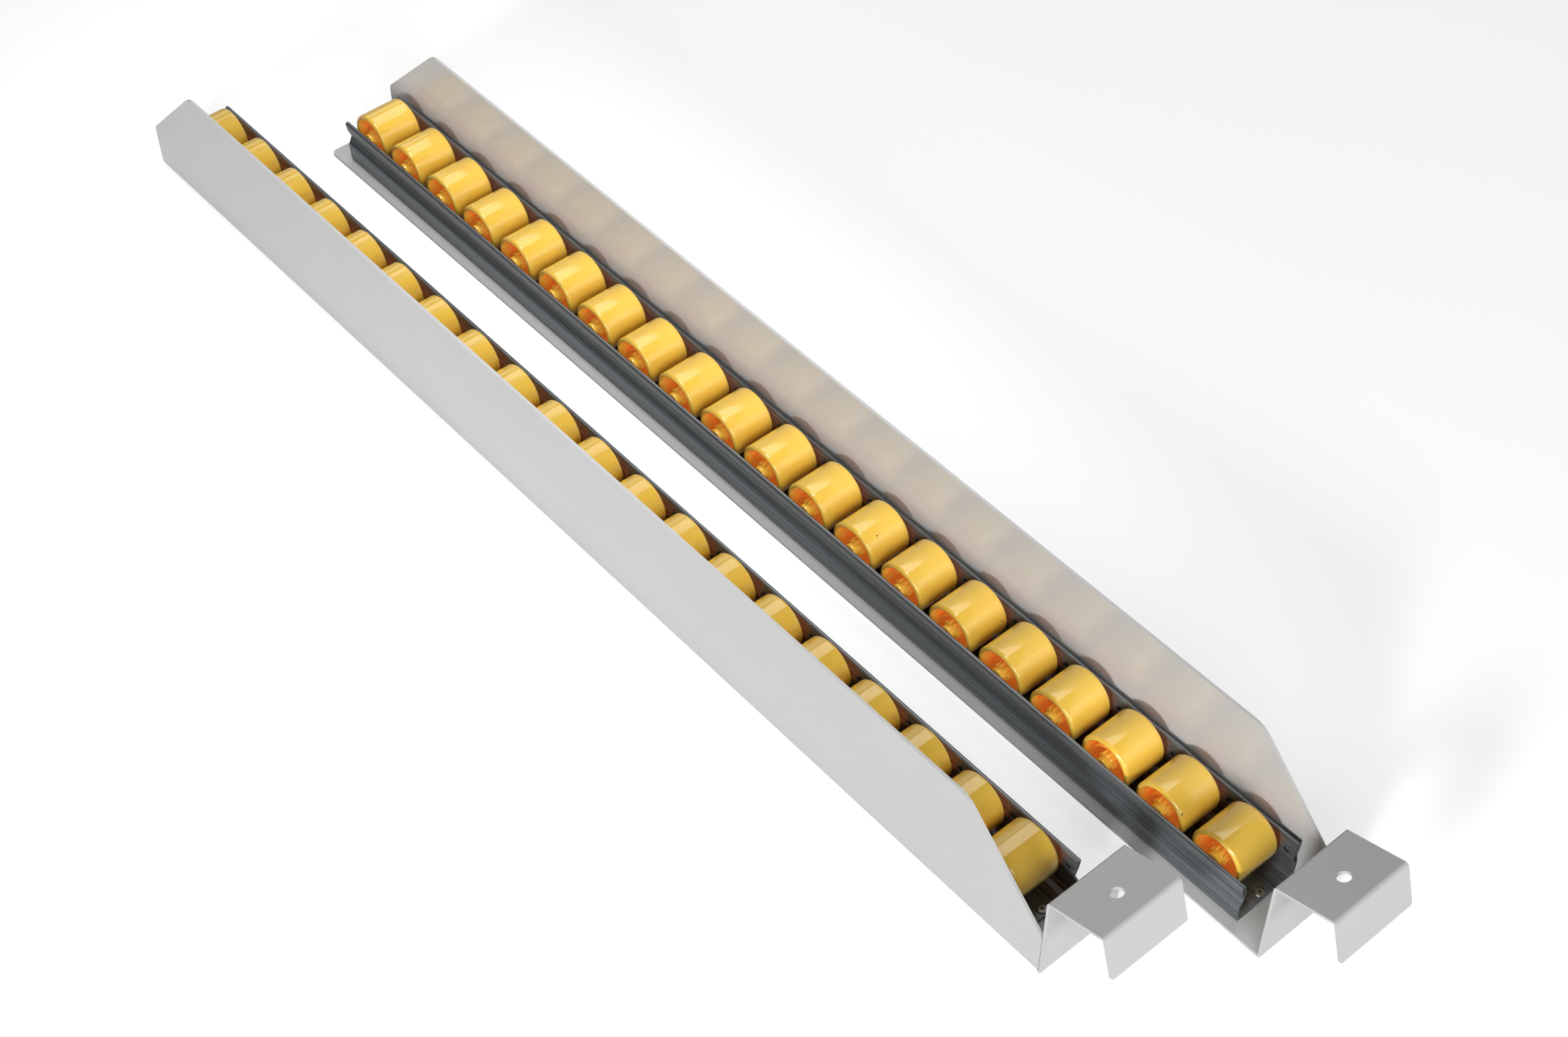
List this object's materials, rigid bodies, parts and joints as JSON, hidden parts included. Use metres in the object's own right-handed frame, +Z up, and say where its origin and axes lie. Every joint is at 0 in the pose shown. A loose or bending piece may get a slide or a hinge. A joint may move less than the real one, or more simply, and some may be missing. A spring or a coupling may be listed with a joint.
{
  "type": "gravity roller conveyor",
  "caption": "Gravity conveyor lane: left and right roller rails, each a folded guide tray with an end hook, a roll-formed channel and free-spinning plastic rollers.",
  "frame": {"origin": "centre of the whole pair's footprint, on the undersides of the two trays", "axes": "+Y along the lane away from the hooks, +Z up, +X across the lane to the right-hand rail when looking along +Y"},
  "size_m": [0.1206, 0.7924, 0.075],
  "materials": {
    "powder_coat": "fine satin powder coat, off-white",
    "galvanised_sheet": "roll-formed galvanised sheet, lengthwise streaks",
    "axle_steel": "bright drawn wire",
    "rivet_steel": "zinc-plated, dull",
    "roller_plastic": "moulded yellow plastic, satin gloss"
  },
  "bodies": {
    "right_rail": {"guide_right": "powder_coat", "channel_right": "galvanised_sheet", "axles_right": "axle_steel", "rivets_right": "rivet_steel"},
    "left_rail": {"guide_left": "powder_coat", "channel_left": "galvanised_sheet", "axles_left": "axle_steel", "rivets_left": "rivet_steel"},
    "roller_right_01": {"roller_right_01": "roller_plastic"},
    "roller_right_02": {"roller_right_02": "roller_plastic"},
    "roller_right_03": {"roller_right_03": "roller_plastic"},
    "roller_right_04": {"roller_right_04": "roller_plastic"},
    "roller_right_05": {"roller_right_05": "roller_plastic"},
    "roller_right_06": {"roller_right_06": "roller_plastic"},
    "roller_right_07": {"roller_right_07": "roller_plastic"},
    "roller_right_08": {"roller_right_08": "roller_plastic"},
    "roller_right_09": {"roller_right_09": "roller_plastic"},
    "roller_right_10": {"roller_right_10": "roller_plastic"},
    "roller_right_11": {"roller_right_11": "roller_plastic"},
    "roller_right_12": {"roller_right_12": "roller_plastic"},
    "roller_right_13": {"roller_right_13": "roller_plastic"},
    "roller_right_14": {"roller_right_14": "roller_plastic"},
    "roller_right_15": {"roller_right_15": "roller_plastic"},
    "roller_right_16": {"roller_right_16": "roller_plastic"},
    "roller_right_17": {"roller_right_17": "roller_plastic"},
    "roller_right_18": {"roller_right_18": "roller_plastic"},
    "roller_right_19": {"roller_right_19": "roller_plastic"},
    "roller_right_20": {"roller_right_20": "roller_plastic"},
    "roller_left_01": {"roller_left_01": "roller_plastic"},
    "roller_left_02": {"roller_left_02": "roller_plastic"},
    "roller_left_03": {"roller_left_03": "roller_plastic"},
    "roller_left_04": {"roller_left_04": "roller_plastic"},
    "roller_left_05": {"roller_left_05": "roller_plastic"},
    "roller_left_06": {"roller_left_06": "roller_plastic"},
    "roller_left_07": {"roller_left_07": "roller_plastic"},
    "roller_left_08": {"roller_left_08": "roller_plastic"},
    "roller_left_09": {"roller_left_09": "roller_plastic"},
    "roller_left_10": {"roller_left_10": "roller_plastic"},
    "roller_left_11": {"roller_left_11": "roller_plastic"},
    "roller_left_12": {"roller_left_12": "roller_plastic"},
    "roller_left_13": {"roller_left_13": "roller_plastic"},
    "roller_left_14": {"roller_left_14": "roller_plastic"},
    "roller_left_15": {"roller_left_15": "roller_plastic"},
    "roller_left_16": {"roller_left_16": "roller_plastic"},
    "roller_left_17": {"roller_left_17": "roller_plastic"},
    "roller_left_18": {"roller_left_18": "roller_plastic"},
    "roller_left_19": {"roller_left_19": "roller_plastic"},
    "roller_left_20": {"roller_left_20": "roller_plastic"}
  },
  "joints": [
    {"name": "left_rail_stagger", "type": "slide", "parent": "right_rail", "child": "left_rail", "axis": [0, 1, 0], "range_m": [-0.0554, 0]},
    {"name": "roller_right_01_spin", "type": "hinge", "parent": "right_rail", "child": "roller_right_01", "pos_m": [0.0385, -0.32003, 0.0215], "axis": [1, 0, 0], "continuous": true},
    {"name": "roller_right_02_spin", "type": "hinge", "parent": "right_rail", "child": "roller_right_02", "pos_m": [0.0385, -0.28669, 0.0215], "axis": [1, 0, 0], "continuous": true},
    {"name": "roller_right_03_spin", "type": "hinge", "parent": "right_rail", "child": "roller_right_03", "pos_m": [0.0385, -0.25336, 0.0215], "axis": [1, 0, 0], "continuous": true},
    {"name": "roller_right_04_spin", "type": "hinge", "parent": "right_rail", "child": "roller_right_04", "pos_m": [0.0385, -0.22003, 0.0215], "axis": [1, 0, 0], "continuous": true},
    {"name": "roller_right_05_spin", "type": "hinge", "parent": "right_rail", "child": "roller_right_05", "pos_m": [0.0385, -0.18669, 0.0215], "axis": [1, 0, 0], "continuous": true},
    {"name": "roller_right_06_spin", "type": "hinge", "parent": "right_rail", "child": "roller_right_06", "pos_m": [0.0385, -0.15336, 0.0215], "axis": [1, 0, 0], "continuous": true},
    {"name": "roller_right_07_spin", "type": "hinge", "parent": "right_rail", "child": "roller_right_07", "pos_m": [0.0385, -0.12003, 0.0215], "axis": [1, 0, 0], "continuous": true},
    {"name": "roller_right_08_spin", "type": "hinge", "parent": "right_rail", "child": "roller_right_08", "pos_m": [0.0385, -0.08669, 0.0215], "axis": [1, 0, 0], "continuous": true},
    {"name": "roller_right_09_spin", "type": "hinge", "parent": "right_rail", "child": "roller_right_09", "pos_m": [0.0385, -0.05336, 0.0215], "axis": [1, 0, 0], "continuous": true},
    {"name": "roller_right_10_spin", "type": "hinge", "parent": "right_rail", "child": "roller_right_10", "pos_m": [0.0385, -0.02003, 0.0215], "axis": [1, 0, 0], "continuous": true},
    {"name": "roller_right_11_spin", "type": "hinge", "parent": "right_rail", "child": "roller_right_11", "pos_m": [0.0385, 0.0133, 0.0215], "axis": [1, 0, 0], "continuous": true},
    {"name": "roller_right_12_spin", "type": "hinge", "parent": "right_rail", "child": "roller_right_12", "pos_m": [0.0385, 0.04664, 0.0215], "axis": [1, 0, 0], "continuous": true},
    {"name": "roller_right_13_spin", "type": "hinge", "parent": "right_rail", "child": "roller_right_13", "pos_m": [0.0385, 0.07997, 0.0215], "axis": [1, 0, 0], "continuous": true},
    {"name": "roller_right_14_spin", "type": "hinge", "parent": "right_rail", "child": "roller_right_14", "pos_m": [0.0385, 0.1133, 0.0215], "axis": [1, 0, 0], "continuous": true},
    {"name": "roller_right_15_spin", "type": "hinge", "parent": "right_rail", "child": "roller_right_15", "pos_m": [0.0385, 0.14664, 0.0215], "axis": [1, 0, 0], "continuous": true},
    {"name": "roller_right_16_spin", "type": "hinge", "parent": "right_rail", "child": "roller_right_16", "pos_m": [0.0385, 0.17997, 0.0215], "axis": [1, 0, 0], "continuous": true},
    {"name": "roller_right_17_spin", "type": "hinge", "parent": "right_rail", "child": "roller_right_17", "pos_m": [0.0385, 0.2133, 0.0215], "axis": [1, 0, 0], "continuous": true},
    {"name": "roller_right_18_spin", "type": "hinge", "parent": "right_rail", "child": "roller_right_18", "pos_m": [0.0385, 0.24663, 0.0215], "axis": [1, 0, 0], "continuous": true},
    {"name": "roller_right_19_spin", "type": "hinge", "parent": "right_rail", "child": "roller_right_19", "pos_m": [0.0385, 0.27997, 0.0215], "axis": [1, 0, 0], "continuous": true},
    {"name": "roller_right_20_spin", "type": "hinge", "parent": "right_rail", "child": "roller_right_20", "pos_m": [0.0385, 0.3133, 0.0215], "axis": [1, 0, 0], "continuous": true},
    {"name": "roller_left_01_spin", "type": "hinge", "parent": "left_rail", "child": "roller_left_01", "pos_m": [-0.0385, -0.26463, 0.0215], "axis": [1, 0, 0], "continuous": true},
    {"name": "roller_left_02_spin", "type": "hinge", "parent": "left_rail", "child": "roller_left_02", "pos_m": [-0.0385, -0.23129, 0.0215], "axis": [1, 0, 0], "continuous": true},
    {"name": "roller_left_03_spin", "type": "hinge", "parent": "left_rail", "child": "roller_left_03", "pos_m": [-0.0385, -0.19796, 0.0215], "axis": [1, 0, 0], "continuous": true},
    {"name": "roller_left_04_spin", "type": "hinge", "parent": "left_rail", "child": "roller_left_04", "pos_m": [-0.0385, -0.16463, 0.0215], "axis": [1, 0, 0], "continuous": true},
    {"name": "roller_left_05_spin", "type": "hinge", "parent": "left_rail", "child": "roller_left_05", "pos_m": [-0.0385, -0.13129, 0.0215], "axis": [1, 0, 0], "continuous": true},
    {"name": "roller_left_06_spin", "type": "hinge", "parent": "left_rail", "child": "roller_left_06", "pos_m": [-0.0385, -0.09796, 0.0215], "axis": [1, 0, 0], "continuous": true},
    {"name": "roller_left_07_spin", "type": "hinge", "parent": "left_rail", "child": "roller_left_07", "pos_m": [-0.0385, -0.06463, 0.0215], "axis": [1, 0, 0], "continuous": true},
    {"name": "roller_left_08_spin", "type": "hinge", "parent": "left_rail", "child": "roller_left_08", "pos_m": [-0.0385, -0.0313, 0.0215], "axis": [1, 0, 0], "continuous": true},
    {"name": "roller_left_09_spin", "type": "hinge", "parent": "left_rail", "child": "roller_left_09", "pos_m": [-0.0385, 0.00204, 0.0215], "axis": [1, 0, 0], "continuous": true},
    {"name": "roller_left_10_spin", "type": "hinge", "parent": "left_rail", "child": "roller_left_10", "pos_m": [-0.0385, 0.03537, 0.0215], "axis": [1, 0, 0], "continuous": true},
    {"name": "roller_left_11_spin", "type": "hinge", "parent": "left_rail", "child": "roller_left_11", "pos_m": [-0.0385, 0.0687, 0.0215], "axis": [1, 0, 0], "continuous": true},
    {"name": "roller_left_12_spin", "type": "hinge", "parent": "left_rail", "child": "roller_left_12", "pos_m": [-0.0385, 0.10204, 0.0215], "axis": [1, 0, 0], "continuous": true},
    {"name": "roller_left_13_spin", "type": "hinge", "parent": "left_rail", "child": "roller_left_13", "pos_m": [-0.0385, 0.13537, 0.0215], "axis": [1, 0, 0], "continuous": true},
    {"name": "roller_left_14_spin", "type": "hinge", "parent": "left_rail", "child": "roller_left_14", "pos_m": [-0.0385, 0.1687, 0.0215], "axis": [1, 0, 0], "continuous": true},
    {"name": "roller_left_15_spin", "type": "hinge", "parent": "left_rail", "child": "roller_left_15", "pos_m": [-0.0385, 0.20204, 0.0215], "axis": [1, 0, 0], "continuous": true},
    {"name": "roller_left_16_spin", "type": "hinge", "parent": "left_rail", "child": "roller_left_16", "pos_m": [-0.0385, 0.23537, 0.0215], "axis": [1, 0, 0], "continuous": true},
    {"name": "roller_left_17_spin", "type": "hinge", "parent": "left_rail", "child": "roller_left_17", "pos_m": [-0.0385, 0.2687, 0.0215], "axis": [1, 0, 0], "continuous": true},
    {"name": "roller_left_18_spin", "type": "hinge", "parent": "left_rail", "child": "roller_left_18", "pos_m": [-0.0385, 0.30203, 0.0215], "axis": [1, 0, 0], "continuous": true},
    {"name": "roller_left_19_spin", "type": "hinge", "parent": "left_rail", "child": "roller_left_19", "pos_m": [-0.0385, 0.33537, 0.0215], "axis": [1, 0, 0], "continuous": true},
    {"name": "roller_left_20_spin", "type": "hinge", "parent": "left_rail", "child": "roller_left_20", "pos_m": [-0.0385, 0.3687, 0.0215], "axis": [1, 0, 0], "continuous": true}
  ]
}
